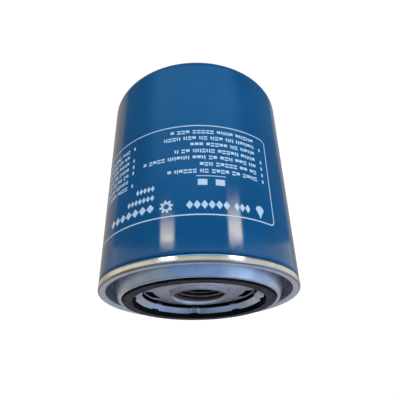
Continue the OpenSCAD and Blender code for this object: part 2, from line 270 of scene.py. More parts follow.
class Graph:
    """One material's node tree, with short calls for the nodes used here. Lengths in the
    textures are metres in the object's own space."""

    def __init__(self, name, **sockets):
        self.mat = bpy.data.materials.new(name)
        self.mat.use_nodes = True
        self.nodes = self.mat.node_tree.nodes
        self.links = self.mat.node_tree.links
        self.bsdf = self.nodes["Principled BSDF"]
        for socket, value in sockets.items():
            self.bsdf.inputs[socket.replace("_", " ")].default_value = value
        self.coords = self.nodes.new("ShaderNodeTexCoord").outputs["Object"]

    def feed(self, value, socket):
        if isinstance(value, bpy.types.NodeSocket):
            self.links.new(value, socket)
        else:
            socket.default_value = value

    def math(self, operation, a, b=0.0):
        node = self.nodes.new("ShaderNodeMath")
        node.operation = operation
        for value, socket in zip((a, b), node.inputs):
            self.feed(value, socket)
        return node.outputs[0]

    def split(self):
        node = self.nodes.new("ShaderNodeSeparateXYZ")
        self.links.new(self.coords, node.inputs[0])
        return node.outputs

    def join(self, x, y, z):
        node = self.nodes.new("ShaderNodeCombineXYZ")
        for value, socket in zip((x, y, z), node.inputs):
            self.feed(value, socket)
        return node.outputs[0]

    def radius(self):
        """Distance from the thread's axis."""
        x, y, _ = self.split()
        squares = self.math("ADD", self.math("MULTIPLY", x, x), self.math("MULTIPLY", y, y))
        return self.math("SQRT", squares)

    def noise(self, size_mm, detail=3.0, roughness=0.5, vector=None):
        node = self.nodes.new("ShaderNodeTexNoise")
        self.links.new(vector or self.coords, node.inputs["Vector"])
        node.inputs["Scale"].default_value = 1 / (size_mm * MM)
        node.inputs["Detail"].default_value = detail
        node.inputs["Roughness"].default_value = roughness
        return node.outputs["Fac"]

    def turned(self, size_mm):
        """Fine rings about the axis, as drawing and rolling leave in sheet."""
        z = self.split()[2]
        wobble = self.math("MULTIPLY", self.noise(12), 0.4 * MM)
        ring = self.math("ADD", self.radius(), wobble)
        return self.noise(size_mm, 2.0, 0.6, self.join(ring, z, 0.0))

    def span(self, value, low, high, at=(0.35, 0.65)):
        """A smooth step from low to high, while the value runs through at."""
        return smooth_range(self.nodes, self.links, value, at, (low, high))

    def span_mm(self, length, low, high, start, end):
        """The same over a length, from start to end in millimetres."""
        return self.span(length, low, high, (start * MM, end * MM))

    def mix(self, share, a, b):
        node = self.nodes.new("ShaderNodeMix")
        node.data_type = "RGBA"
        self.feed(share, node.inputs[0])
        for value, socket in ((a, node.inputs[6]), (b, node.inputs[7])):
            self.feed(value if isinstance(value, bpy.types.NodeSocket) else (*value, 1), socket)
        return node.outputs[2]

    def bump(self, height, depth_mm, strength):
        node = self.nodes.new("ShaderNodeBump")
        self.links.new(height, node.inputs["Height"])
        node.inputs["Distance"].default_value = depth_mm * MM
        node.inputs["Strength"].default_value = strength
        self.links.new(node.outputs["Normal"], self.bsdf.inputs["Normal"])

    def set(self, **sockets):
        for socket, value in sockets.items():
            self.feed(value, self.bsdf.inputs[socket.replace("_", " ")])
        return self.mat


def blue_enamel():
    g = Graph("blue_enamel", Metallic=0.0, Specular_IOR_Level=0.4)
    tone = g.span(g.noise(22), 0, 1, (0.3, 0.7))
    specks = g.span(g.noise(0.9, 1.0), 0, 1, (0.74, 0.82))
    colour = g.mix(tone, (0.0020, 0.060, 0.158), (0.0030, 0.072, 0.186))
    g.bump(g.noise(1.7, 2.0), 0.004, 0.35)
    return g.set(Base_Color=g.mix(specks, colour, (0.015, 0.095, 0.21)),
                 Roughness=g.span(g.noise(3.5, 4.0), 0.06, 0.11))


def print_ink():
    g = Graph("print_ink", Metallic=0.0, Specular_IOR_Level=0.4)
    worn = g.span(g.noise(0.5, 2.0), 0, 1, (0.55, 0.8))
    return g.set(Base_Color=g.mix(worn, (0.40, 0.53, 0.63), (0.20, 0.33, 0.46)),
                 Roughness=g.span(g.noise(2), 0.28, 0.4))


def zinc_lid():
    """Zinc plate: glossier on the seam band, which also gets a painted warm reflection, and with
    painted shade in the groove, in the fold by the seam and under the hem."""
    seam_band_from, seam_band_to = SEAM_R - 1.9, SEAM_R - 0.5   # where the seam band begins: glossier, with a painted warm reflection
    g = Graph("zinc_lid", Metallic=1.0)
    r = g.radius()
    z = g.split()[2]
    cloud = g.span(g.noise(5, 4.0), 0, 1)
    zinc = g.mix(cloud, (0.60, 0.63, 0.68), (0.69, 0.72, 0.76))
    # painted warm reflection: the seam band's zinc is tinted warm in place of the warm light it
    # reflects
    warm_reflection_zinc = g.mix(cloud, (0.70, 0.67, 0.62), (0.78, 0.75, 0.69))
    colour = g.mix(g.span_mm(r, 0, 1, seam_band_from, seam_band_to), zinc, warm_reflection_zinc)

    def shaded(share, by_height, by_radius):
        return g.math("MULTIPLY", g.math("MULTIPLY", by_height, by_radius), share)

    # painted shade: darkens the groove, the underside of the hem and the fold by the seam, where
    # shade falls
    groove = shaded(0.9, g.span_mm(z, 1, 0, GROOVE_Z - 0.1, GROOVE_Z + 1.3),
                    g.span_mm(r, 0, 1, CONE_FOOT_R - 0.65, CONE_FOOT_R - 0.05))
    under_hem = shaded(0.9, g.span_mm(z, 1, 0, GASKET_FOOT + 0.75, GASKET_FOOT + 1.0),
                       g.span_mm(r, 1, 0, GASKET_IN + 0.1, GASKET_IN + 0.4))
    seam_fold = shaded(0.5, g.span_mm(z, 0, 1, SEAM_TOP - 0.6, SEAM_TOP - 0.3),
                       g.span_mm(r, 0, 1, SEAM_R - 1.0, SEAM_R - 0.7))
    shade = g.math("MAXIMUM", g.math("MAXIMUM", groove, under_hem), seam_fold)
    g.bump(g.turned(0.8), 0.0008, 0.15)
    gloss = g.span_mm(r, 1, 0.45, seam_band_from, seam_band_to)
    return g.set(Base_Color=g.mix(shade, colour, (0.012, 0.014, 0.018)),
                 Roughness=g.math("MULTIPLY", gloss, g.span(g.noise(6, 3.0), 0.26, 0.36)))


def plate_steel():
    """Pressed steel with painted shade, which is black in the bore, in the slots and under the hem,
    and weaker on the collar's lip; the thread's crests get a painted highlight."""
    g = Graph("plate_steel", Coat_Weight=0.1, Coat_Roughness=0.15)
    r = g.radius()
    z = g.split()[2]
    cloud = g.span(g.noise(4, 5.0, 0.6), 0, 1)
    steel = g.mix(cloud, (0.38, 0.38, 0.41), (0.47, 0.47, 0.50))
    # painted shade in the bore, in the slots, below the plate and under the hem
    bore = g.span_mm(r, 1, 0, THREAD_R + 0.05, THREAD_R + 0.5)
    under_hem = g.span_mm(r, 0, 1, HEM_R - 0.59, HEM_R - 0.19)
    below = g.span_mm(z, 1, 0, PLATE_TOP - 0.6, PLATE_TOP - 0.1)
    inside_lid = g.span_mm(r, 1, 0, GASKET_IN - 0.8, GASKET_IN + 0.2)
    painted_shade = g.math("MAXIMUM", g.math("MAXIMUM", bore, under_hem), below)
    painted_shade = g.math("MULTIPLY", painted_shade, inside_lid)
    # painted shade, at part strength, on the collar's lip
    lip = g.span_mm(z, 0, 0.6, COLLAR_TOP - 0.5, COLLAR_TOP - 0.15)
    painted_shade = g.math("MAXIMUM", painted_shade, lip)
    # painted highlight: the thread's crests are lighter than the shaded grooves
    crest = g.span_mm(r, 1, 0, THREAD_R - 0.5, THREAD_R - 0.3)
    shade_colour = g.mix(crest, (0.028, 0.018, 0.016), (0.19, 0.155, 0.15))
    g.bump(g.noise(0.35, 3.0), 0.006, 0.5)
    collar = g.span_mm(z, 0.8, 0.3, PLATE_TOP + 0.2, PLATE_TOP + 0.5)
    return g.set(Base_Color=g.mix(painted_shade, steel, shade_colour), Metallic=collar,
                 Roughness=g.span(g.noise(1.2, 4.0), 0.28, 0.44))


def rubber(name, dark, light, roughness, face=None):
    """Moulded rubber with a fine grain. From z = face upwards it is a little dusty, with a painted
    sheen, except along the gasket's outer edge, which is left dark as painted shade."""
    g = Graph(name, Metallic=0.0, Specular_IOR_Level=0.1)
    colour = g.mix(g.span(g.noise(6, 4.0), 0, 1), dark, light)
    if face is not None:
        top = g.span_mm(g.split()[2], 0, 1, face - 0.05, face)
        # dust and a painted sheen: the top face is lightened in patches
        dust_and_sheen = g.math("MULTIPLY", top, g.span(g.noise(0.7, 4.0, 0.7), 0.1, 0.3, (0.5, 0.75)))
        # painted shade: no lightening along the gasket's outer edge
        inner = g.span_mm(g.radius(), 1, 0, GASKET_R - 0.8, GASKET_R - 0.4)
        dust_and_sheen = g.math("MULTIPLY", dust_and_sheen, inner)
        colour = g.mix(dust_and_sheen, colour, (0.020, 0.016, 0.0165))
        g.set(Specular_IOR_Level=g.span(top, 0.03, 0.1, (0, 1)))
    g.bump(g.noise(0.25, 3.0), 0.01, 0.5)
    return g.set(Base_Color=colour,
                 Roughness=g.span(g.noise(2.5, 3.0), roughness, roughness + 0.14))


def sheet_steel(name, dark, light, roughness):
    """Plain or tinned sheet, with drawing marks round the axis."""
    g = Graph(name, Metallic=1.0)
    cloud = g.span(g.noise(5, 4.0), 0, 1)
    g.bump(g.turned(0.2), 0.004, 0.5)
    return g.set(Base_Color=g.mix(cloud, dark, light),
                 Roughness=g.span(g.noise(1.5, 4.0), roughness, roughness + 0.16))


def spring_steel():
    g = Graph("spring_steel", Metallic=1.0)
    blue = g.span(g.noise(3, 3.0), 0, 1)
    g.bump(g.noise(0.12, 2.0), 0.004, 0.4)
    return g.set(Base_Color=g.mix(blue, (0.16, 0.155, 0.16), (0.24, 0.25, 0.29)),
                 Roughness=g.span(g.noise(1), 0.28, 0.44))


def filter_paper():
    """Resin-cured paper: fibres, and a warm uneven tan."""
    g = Graph("filter_paper", Metallic=0.0, Specular_IOR_Level=0.25)
    x, y, z = g.split()
    fibre = g.noise(0.3, 5.0, 0.7, g.join(x, y, g.math("MULTIPLY", z, 0.35)))
    cloud = g.span(g.noise(7, 4.0), 0, 1)
    base = g.mix(cloud, (0.60, 0.40, 0.17), (0.70, 0.50, 0.25))
    g.bump(fibre, 0.03, 0.6)
    return g.set(Base_Color=g.mix(g.span(fibre, 0, 0.55), base, (0.44, 0.27, 0.10)),
                 Roughness=g.span(cloud, 0.75, 0.9, (0, 1)))


def cured_compound(name, dark, light):
    g = Graph(name, Metallic=0.0, Specular_IOR_Level=0.35)
    blobs = g.noise(1.4, 4.0)
    g.bump(blobs, 0.06, 0.5)
    return g.set(Base_Color=g.mix(g.span(blobs, 0, 1), dark, light),
                 Roughness=g.span(g.noise(3), 0.5, 0.68))


# --- Can -------------------------------------------------------------------------------

def can_piece(paint, bare):
    """Drawn can: recessed dome, wall, necked mouth and body hook. Bare steel inside."""
    mid_z = FLOOR_Z + CAN_T / 2
    recess_z = mid_z + 1.5
    recess_r, recess_foot_r = 26.2, 28.2
    corner = 4.6 - CAN_T / 2                      # the dome's, at the middle of the sheet
    wall = CAN_R - CAN_T / 2
    neck_z, shoulder_z = -6.0, -5.95
    body_wall = SEAM_R - 2.1
    hook, hook_end = SEAM_R - 0.9, -4.45
    fold_z = CAN_MOUTH_Z - CAN_T / 2
    outline = sheet([
        (0, recess_z), (recess_r, recess_z, 1.0), (recess_foot_r, mid_z, 1.0),
        (wall, mid_z, corner), (wall, neck_z, 0.75), (body_wall, shoulder_z, 0.27),
        (body_wall, fold_z, 0.6), (hook, fold_z, 0.6), (hook, hook_end)],
        CAN_T, ends=("axis", "round"))
    piece = lathe("painted_can", outline, steps=320)
    place(piece, "root", "can_paint", paint, "can")
    piece.data.materials.append(bare)
    paint_end = neck_z - 0.3                      # above it the mouth is painted all over
    slots = []
    for face in piece.data.polygons:
        r = math.hypot(face.center.x, face.center.y) / MM
        z = face.center.z / MM
        outwards = face.normal.x * face.center.x + face.normal.y * face.center.y
        inner_wall = r < wall - 0.01 and outwards < 0
        inner_floor = z > mid_z + 1e-3 and face.normal.z > 0.5
        slots.append(1 if (inner_wall or inner_floor) and z < paint_end else 0)
    piece.data.polygons.foreach_set("material_index", slots)


# --- Lid, gasket and base plate ---------------------------------------------------------

def lid_piece(mat):
    """Pressed retainer. The top of its inner flange is folded in over the plate, and crimped."""
    flange, flange_top = GASKET_IN - 0.4, -1.53
    hem_z = -3.96
    channel = GASKET_FOOT - LID_T / 2
    wall = GASKET_R + 0.35
    lip = LIP_Z - LID_T / 2
    groove = GROOVE_Z - LID_T / 2
    cone_top = wall + 0.9
    chuck, outer = SEAM_R - 2.7, SEAM_R - LID_T / 2
    top, bottom = SEAM_TOP - LID_T / 2, SEAM_BOTTOM + LID_T / 2
    hook, hook_end = SEAM_R - 1.5, -4.15
    outline = sheet([
        (HEM_R, hem_z), (flange, flange_top, 0.4), (flange, channel, 0.9), (wall, channel, 0.6),
        (wall, lip, 0.45), (cone_top, lip, 0.45), (CONE_FOOT_R, groove, 0.8), (chuck, groove, 0.8),
        (chuck, top, 0.6), (outer, top, 0.6), (outer, bottom, 0.6), (hook, bottom, 0.6),
        (hook, hook_end)], LID_T, ends=("flat", "round"))
    spacing = 360 / CRIMP_COUNT
    side = (CRIMP_ARC / 2 - 1, CRIMP_ARC / 2 + 1.4)   # where a crimp's side rises, in degrees
    leaning = (channel + 0.9, -2.6)               # heights over which the flange leans in

    def crimp(r, z, a):
        if r > flange + LID_T / 2 + 0.01:
            return r, z
        off = abs((math.degrees(a) - CRIMP_ANGLE + spacing / 2) % spacing - spacing / 2)
        share = 1 - smooth_step(off, *side)
        if r > flange - LID_T / 2 - 0.05:
            share *= smooth_step(z, *leaning)
        return r - CRIMP_IN * share, z - CRIMP_DOWN * share

    piece = lathe("lid_pressing", outline, steps=480, shape=crimp)
    place(piece, "root", "lid_zinc", mat, "seaming_lid")


def gasket_piece(mat):
    foot_bend, top_bend = 0.7, 0.35
    outline = rounded([
        (GASKET_IN, GASKET_FOOT, foot_bend), (GASKET_R, GASKET_FOOT, foot_bend),
        (GASKET_R, 0, top_bend), (GASKET_IN, 0, top_bend)], closed=True)
    place(lathe("square_gasket", outline), "root", "gasket_rubber", mat, "gasket")


def thread_shape(r, z, a):
    """A right-handed internal thread in the bore's wall, fading out at both ends."""
    if abs(r - THREAD_R) > 0.01 or not THREAD_END < z < THREAD_START:
        return r, z
    turn = (z / PITCH - a / (2 * math.pi)) % 1
    flank = abs(2 * turn - 1)                     # 0 in the groove, 1 on the crest
    straight = min(1, max(0, (flank - 0.125) / 0.65))
    ridge = smooth_step(flank, 0.14, 0.86) * 0.35 + straight * 0.65
    fade = smooth_step(THREAD_START - z, 0, 1.2) * smooth_step(z - THREAD_END, 0, 1.0)
    return r - THREAD_DEPTH * ridge * fade, z


def slot_cutter(angle, under):
    """The space of one inlet slot: an arc with round ends, whose top edge is eased."""
    steps = 12                                    # along the arc, and round each end
    ease = 0.35
    past = 2                                      # how far it reaches out of the plate

    def loop(z, grow):
        half = INLET_W / 2 + grow
        points = []
        for side, turns in ((1, range(steps + 1)), (-1, range(steps, -1, -1))):
            for k in turns:
                a = math.radians(angle + INLET_ARC * (k / steps - 0.5))
                r = INLET_RING + side * half
                points.append((r * math.cos(a), r * math.sin(a), z))
            end = math.radians(angle + side * INLET_ARC / 2)
            middle = Vector((math.cos(end), math.sin(end))) * INLET_RING
            for k in range(1, steps):
                turn = end + (0 if side > 0 else math.pi) + math.pi * k / steps
                x, y = middle.x + half * math.cos(turn), middle.y + half * math.sin(turn)
                points.append((x, y, z))
        return points

    levels = [(under - past, 0), (PLATE_TOP - ease, 0)]
    for degrees in (30, 60, 84):
        t = math.radians(degrees)
        levels.append((PLATE_TOP - ease + ease * math.sin(t), ease * (1 - math.cos(t))))
    levels.append((PLATE_TOP + past, levels[-1][1]))
    loops = [loop(z, grow) for z, grow in levels]
    count = len(loops[0])
    faces = [tuple(range(count)), tuple(range(count * (len(loops) - 1), count * len(loops)))]
    for n in range(len(loops) - 1):
        for k in range(count):
            j = (k + 1) % count
            a, b = n * count, (n + 1) * count
            faces.append((a + k, a + j, b + j, b + k))
    return mesh_piece("cutter", [p for ring in loops for p in ring], faces)


def plate_piece(mat):
    """Base plate with its inlet slots, and a hub threaded inside."""
    rows_per_turn = 12
    bore_length = THREAD_START - THREAD_END
    rows = math.ceil(bore_length / (PITCH / rows_per_turn))
    bore = [Vector((THREAD_R, THREAD_END + bore_length * k / rows)) for k in range(rows + 1)]
    under = PLATE_TOP - PLATE_T
    rim_top = GROOVE_Z - LID_T
    rim_under = rim_top - PLATE_T
    step_r = GASKET_R + 1.2                       # where the plate steps down to its rim
    outside = rounded([
        (THREAD_R, THREAD_START), (THREAD_R + LEAD_IN, COLLAR_TOP, 0.15),
        (COLLAR_R, COLLAR_TOP, 0.2), (COLLAR_R + 0.05, PLATE_TOP, 1.0),
        (step_r + 0.5, PLATE_TOP, 0.4), (step_r + 0.55, rim_top, 0.1),
        (PLATE_R, rim_top, 0.2), (PLATE_R, rim_under, 0.3),
        (step_r - 0.85, rim_under, 0.5), (step_r - 2.4, under, 0.8), (HUB_R, under, 0.4),
        (HUB_R, HUB_END, 0.3), (THREAD_R + 0.6, HUB_END, 0.1), (THREAD_R, THREAD_END)])
    piece = lathe("threaded_plate", bore[:-1] + outside[:-1], shape=thread_shape)
    angles = [INLET_ANGLE + 360 * k / INLET_COUNT for k in range(INLET_COUNT)]
    cut(piece, [slot_cutter(angle, under) for angle in angles])
    place(piece, "root", "plate_steel", mat, "base_plate")


# --- Print on the can --------------------------------------------------------------------

class Print:
    """Flat marks wrapped round the can: x runs round it and z along it, in millimetres, and
    x = 0 is at a given angle. Each mark is a thin closed solid that follows the wall."""

    LOW, HIGH = 0.002, 0.03                       # the ink's two faces, above the wall

    def __init__(self, angle):
        self.angle = math.radians(angle)
        self.verts, self.faces = [], []

    def wrap(self, x, z, lift):
        r = CAN_R + lift
        a = self.angle + x / CAN_R
        return r * math.cos(a), r * math.sin(a), z

    def strip(self, stations):
        """A solid through stations, each a pair of (x, z) points on its two edges."""
        first = len(self.verts)
        for p, q in stations:
            self.verts += [self.wrap(*p, self.LOW), self.wrap(*q, self.LOW),
                           self.wrap(*q, self.HIGH), self.wrap(*p, self.HIGH)]
        for k in range(len(stations) - 1):
            a = first + 4 * k
            for j in range(4):
                i = (j + 1) % 4
                self.faces.append((a + j, a + i, a + 4 + i, a + 4 + j))
        last = first + 4 * (len(stations) - 1)
        self.faces += [(first, first + 1, first + 2, first + 3),
                       (last + 3, last + 2, last + 1, last)]

    def bar(self, x0, x1, z0, z1):
        longest = 0.9                             # of the flat parts that it is made of
        steps = max(1, math.ceil((x1 - x0) / longest))
        xs = [x0 + (x1 - x0) * k / steps for k in range(steps + 1)]
        self.strip([((x, z0), (x, z1)) for x in xs])

    def line(self, points, width):
        """A line of even width through points, at most about a millimetre apart."""
        stations = []
        for k, p in enumerate(points):
            after = Vector(points[min(k + 1, len(points) - 1)])
            d = (after - Vector(points[max(k - 1, 0)])).normalized()
            n = Vector((-d.y, d.x)) * width / 2
            stations.append((tuple(Vector(p) - n), tuple(Vector(p) + n)))
        self.strip(stations)

    def blob(self, x0, x1, edges):
        """A filled shape from x0 to x1, where edges(x) gives its low and high z."""
        steps, least = 14, 1e-3
        shares = [0.5 - 0.5 * math.cos(math.pi * k / steps) for k in range(steps + 1)]
        xs = [x0 + (x1 - x0) * share for share in shares]
        self.strip([((x, edges(x)[0]), (x, edges(x)[1] + least)) for x in xs])

    def ring(self, x, z, radius, width):
        """A round line."""
        sides = 24
        turns = [2 * math.pi * k / sides for k in range(sides + 1)]
        self.line([(x + radius * math.cos(a), z + radius * math.sin(a)) for a in turns], width)


def dense(points):
    """The same line with its points close enough together to follow the can."""
    step = 0.8
    out = [points[0]]
    for p, q in zip(points, points[1:]):
        count = max(1, math.ceil((Vector(q) - Vector(p)).length / step))
        out += [tuple(Vector(p).lerp(Vector(q), k / count)) for k in range(1, count + 1)]
    return out


def greek(marks, rng, x0, x1, z):
    """A row of small generic blocks and dashes that stand for a line of small print."""
    height = 1.9
    cell = height * 0.86
    gap = cell * 0.55                             # between groups
    w = cell * 0.82                               # of the mark in a cell
    x = x0
    while x + cell < x1:
        for _ in range(rng.randint(2, 5)):
            if x + cell > x1:
                break
            kind = rng.randrange(3)
            if kind == 0:
                marks.bar(x, x + w, z - height * 0.42, z - height * 0.12)
                marks.bar(x, x + w, z + height * 0.14, z + height * 0.42)
            elif kind == 1:
                marks.bar(x, x + w * 0.34, z - height * 0.42, z + height * 0.42)
                marks.bar(x + w * 0.62, x + w, z - height * 0.42, z + height * 0.3)
            else:
                marks.bar(x, x + w, z - height * 0.4, z + height * 0.2)
            x += cell
        x += gap


def bullets(marks, x, first_z, pitch, rows):
    """Small ticks in front of some rows of small print."""
    for row in rows:
        z = first_z - pitch * row
        marks.bar(x, x + 0.8, z - 0.7, z + 0.7)


def lozenges(marks, x0, x1, z, height, count):
    """A row of solid lozenges in place of a name."""
    pitch = (x1 - x0) / count
    tip, peak = height * 0.06, height / 2
    for k in range(count):
        left, right = x0 + k * pitch, x0 + (k + 0.86) * pitch
        reaches = ((left, tip), ((left + right) / 2, peak), (right, tip))
        marks.strip([((x, z - reach), (x, z + reach)) for x, reach in reaches])


def oil_drop(marks):
    x0, z0, half_w, h = 6.7, -22.9, 1.75, 2.6
    middle = z0 - h * 0.1

    def edges(x):
        u = (x - x0) / half_w
        belly = h * 0.684 * math.sqrt(max(0, 1 - u * u))
        point = h * 1.25 * (1 - abs(u)) ** 1.3
        return middle - belly, middle + point

    marks.blob(x0 - half_w, x0 + half_w, edges)


def cog(marks):
    x0, z0, teeth, turned = 40.2, -22.7, 8, 10
    marks.ring(x0, z0, 1.35, 0.7)
    for k in range(teeth):
        a = math.radians(360 / teeth * k + turned)
        ends = [(x0 + r * math.cos(a), z0 + r * math.sin(a)) for r in (1.6, 2.4)]
        marks.line(ends, 0.8)


def printing(ink):
    """A framed panel of generic marks: two symbols, lozenges for names, two squares over a
    rule for a heading, and rows of small print."""
    rng = random.Random(7)
    marks = Print(-134)
    width, top, bottom, bend = 88.0, -18.9, -56.4, 2.0
    frame_line = rounded([
        (width / 2, top), (width, top, bend), (width, bottom, bend), (0, bottom, bend),
        (0, top, bend), (width / 2, top)], support=5)
    marks.line(dense([tuple(p) for p in frame_line]), 0.45)
    oil_drop(marks)
    cog(marks)

    # start, end, middle height, height and count of each row of lozenges
    for row in ((11.0, 17.2, -22.6, 3.3, 3), (18.6, 33.6, -22.6, 3.3, 6),
                (44.8, 67.0, -23.1, 3.3, 7), (44.8, 56.8, -27.2, 2.4, 7),
                (44.8, 52.8, -31.0, 2.4, 5)):
        lozenges(marks, *row)
    for x in (19.8, 26.0):
        marks.bar(x, x + 3.3, -32.6, -30.2)
    marks.bar(19.4, 29.8, -34.1, -33.8)

    # two columns of small print: rows of set lengths, and rows of random ones
    near_z, near_pitch = -36.0, 2.9
    for k, end in enumerate((41.8, 29.0, 51.9, 38.9, 32.2, 43.5, 39.6)):
        greek(marks, rng, 6.4, end, near_z - near_pitch * k)
    bullets(marks, 3.0, near_z, near_pitch, (0, 1, 2, 3, 5))
    far_z, far_pitch = -35.2, 2.8
    for k in range(7):
        greek(marks, rng, 57.7, 74 + 8 * rng.random(), far_z - far_pitch * k)
    bullets(marks, 54.6, far_z, far_pitch, (0, 2, 3, 4, 6))
    piece = mesh_piece("printed_marks", marks.verts, marks.faces, sharp=30)
    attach(piece, "root")
    piece.data.materials.append(ink)


# --- Inside ------------------------------------------------------------------------------

def sleeve_piece(mat):
    """The anti-drainback valve's sleeve."""
    low, high = box_mm("anti_drainback_collar")
    inner = THREAD_R + 3.25
    neck_r, neck_top = 15.05, -14.4               # it narrows to go into the element's neck
    outline = rounded([
        (inner, low.z, 0.2), (neck_r, low.z, 0.4), (neck_r, neck_top, 0.1),
        (high.x, neck_top, 0.3), (high.x, high.z, 0.3), (inner, high.z, 0.2)], closed=True)
    place(lathe("drainback_sleeve", outline), "root", "valve_rubber", mat, "anti_drainback_collar")


def skirt_piece(mat):
    """The same valve's skirt, which bends between the plate and the sleeve."""
    low, high = box_mm("anti_drainback_flap")
    root_r, root_h = 16.3, 1.1
    outline = rounded([
        (root_r, low.z, 0.2), (root_r, low.z + root_h, 0.3), (high.x - 1.5, high.z, 0.5),
        (high.x - 0.2, high.z, 0.15), (high.x, high.z - 0.8, 0.25),
        (high.x - 1.2, high.z - 1.1, 0.6)], closed=True)
    halves = []
    for p, q in zip(outline, outline[1:] + outline[:1]):
        halves += [p, p.lerp(q, 0.5)]
    piece = lathe("drainback_skirt_rubber", halves)
    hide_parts("anti_drainback_flap")
    piece.data.materials.append(mat)
    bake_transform(piece)


def cap_pieces(mat):
    """The element's two end caps, pressed from sheet."""
    rim, edge = 34.25, 0.5
    low, high = box_mm("top_end_cap")
    neck, flat = 15.35, -16.75
    outline = sheet([(neck, high.z + 0.05), (neck, flat, edge), (rim, flat, edge),
                     (rim, low.z + CAP_T / 2)], CAP_T)
    outline = [Vector((p.x, min(p.y, high.z))) for p in outline]
    place(lathe("top_cap_pressing", outline), "root", "pressed_steel", mat, "top_end_cap")
    low, high = box_mm("bottom_end_cap")
    flat = low.z + CAP_T / 2
    bead, bead_r, bead_foot = flat + 0.5, 8.2, 8.7    # the bypass valve's seat
    outline = sheet([(bead_r - 0.3, bead, 0.3), (bead_r, bead, 0.3), (bead_foot, flat, 0.3),
                     (rim, flat, edge), (rim, high.z - CAP_T / 2)], CAP_T)
    place(lathe("bottom_cap_pressing", outline), "root", "pressed_steel", mat, "bottom_end_cap")


def media_piece(mat):
    """Pleated paper, with round folds."""
    low, high = box_mm("filter_media")
    peak, valley = high.x - PAPER_T / 2, 17.2 + PAPER_T / 2
    fold_r, fold_half, fold_steps = 0.4, 80, 6
    centre_line = []
    for k in range(PLEATS):
        for fold, r, inward in ((0, peak, -1), (0.5, valley, 1)):
            a = 2 * math.pi * (k + fold) / PLEATS
            middle = Vector((r + inward * fold_r, 0))
            for step in range(fold_steps + 1):
                turn = math.radians(fold_half * (2 * step / fold_steps - 1))
                arc = Vector((-inward * math.cos(turn), math.sin(turn))) * fold_r
                centre_line.append(Matrix.Rotation(a, 2) @ (middle + arc))
    count = len(centre_line)
    sides = ([], [])
    for k, p in enumerate(centre_line):
        d = (centre_line[(k + 1) % count] - centre_line[k - 1]).normalized()
        across = Vector((d.y, -d.x)) * PAPER_T / 2
        sides[0].append(p + across)
        sides[1].append(p - across)
    verts = [(p.x, p.y, z) for z in (low.z, high.z) for ring in sides for p in ring]
    out_low, in_low, out_high, in_high = (n * count for n in range(4))
    faces = []
    for k in range(count):
        j = (k + 1) % count
        faces += [(out_low + k, out_low + j, out_high + j, out_high + k),
                  (in_low + k, in_high + k, in_high + j, in_low + j),
                  (out_low + k, in_low + k, in_low + j, out_low + j),
                  (out_high + k, out_high + j, in_high + j, in_high + k)]
    piece = mesh_piece("pleated_paper", verts, faces, sharp=45)
    place(piece, "root", "paper_media", mat, "filter_media")


def spring_piece(mat):
    """Round wire, with closed end coils, between the poppet and its seat in the cage."""
    low, high = box_mm("bypass_spring")
    wire, turns, sides, per_turn = 0.5, 6, 16, 40
    coil = high.x - wire
    z0, z1 = low.z + wire, high.z - wire
    end, end_rise = 0.75, 0.795                   # turns in a closed end, and its rise

    def height(turn):
        if turn < end:
            return z0 + end_rise * turn / end
        if turn > turns - end:
            return z1 - end_rise * (turns - turn) / end
        return z0 + end_rise + (z1 - z0 - 2 * end_rise) * (turn - end) / (turns - 2 * end)

    count = turns * per_turn
    verts, faces = [], []
    for k in range(count + 1):
        a = 2 * math.pi * k / per_turn
        z = height(k / per_turn)
        for s in range(sides):
            b = 2 * math.pi * s / sides
            r = coil + wire * math.cos(b)
            verts.append((r * math.cos(a), r * math.sin(a), z + wire * math.sin(b)))
    for k in range(count):
        for s in range(sides):
            i = (s + 1) % sides
            a = k * sides
            faces.append((a + s, a + i, a + sides + i, a + sides + s))
    faces += [tuple(range(sides)), tuple(range(len(verts) - 1, len(verts) - sides - 1, -1))]
    piece = mesh_piece("valve_spring", verts, faces)
    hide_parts("bypass_spring")
    piece.data.materials.append(mat)
    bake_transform(piece)


def kept_nodes(mats):
    """Materials for the CAD nodes whose own shape is right."""
    for node, mat in mats.items():
        piece = frame["nodes"][node]
        piece.data.materials.clear()
        piece.data.materials.append(mat)


# --- Stage --------------------------------------------------------------------------------

def floor():
    """A white floor to all sides, which the filter's metal doesn't reflect."""
    size = 12.0
    mesh = bpy.data.meshes.new("floor")
    corners = [(-size, -size), (size, -size), (size, size), (-size, size)]
    mesh.from_pydata([(x, y, FLOOR_Z * MM) for x, y in corners], [], [(0, 1, 2, 3)])
    plane = bpy.data.objects.new("floor", mesh)
    bpy.context.scene.collection.objects.link(plane)
    g = Graph("floor_white", Metallic=0.0, Roughness=0.9, Specular_IOR_Level=0.0,
              Emission_Color=(1, 1, 1, 1), Emission_Strength=1.0)
    mesh.materials.append(g.set(Base_Color=(0.1, 0.1, 0.1, 1)))
    plane.visible_glossy = False


def area_light(name, where, size, power):
    """A square lamp that points at the filter and shows in no reflection."""
    towards = Vector((0, 0, -0.05))
    data = bpy.data.lights.new(name, "AREA")
    data.shape = "RECTANGLE"
    data.size = data.size_y = size
    data.energy = power
    lamp = bpy.data.objects.new(name, data)
    lamp.location = where
    lamp.rotation_euler = (towards - Vector(where)).to_track_quat("-Z", "Y").to_euler()
    lamp.visible_glossy = False
    bpy.context.scene.collection.objects.link(lamp)


# what the room looks like by direction, in linear colours
ROOM_FRONT = (0.21, 0.365, 0.66)
COOL_SIDE = (0.46, 0.60, 0.84)
COOL_HIGH = (0.31, 0.58, 1.12)
GREY_SIDE = (0.34, 0.36, 0.38)
GREY_HIGH = (0.18, 0.19, 0.20)
ROOM_BACK = (0.42, 0.43, 0.48)
CEILING = (0.27, 0.35, 0.52)
ZENITH = (0.05, 0.06, 0.08)
LOW_FRONT = (0.80, 0.78, 0.66)
FLOOR_FRONT = (0.10, 0.18, 0.28)
LOW_COOL = (0.42, 0.40, 0.36)
LOW_WARM = (0.54, 0.46, 0.34)
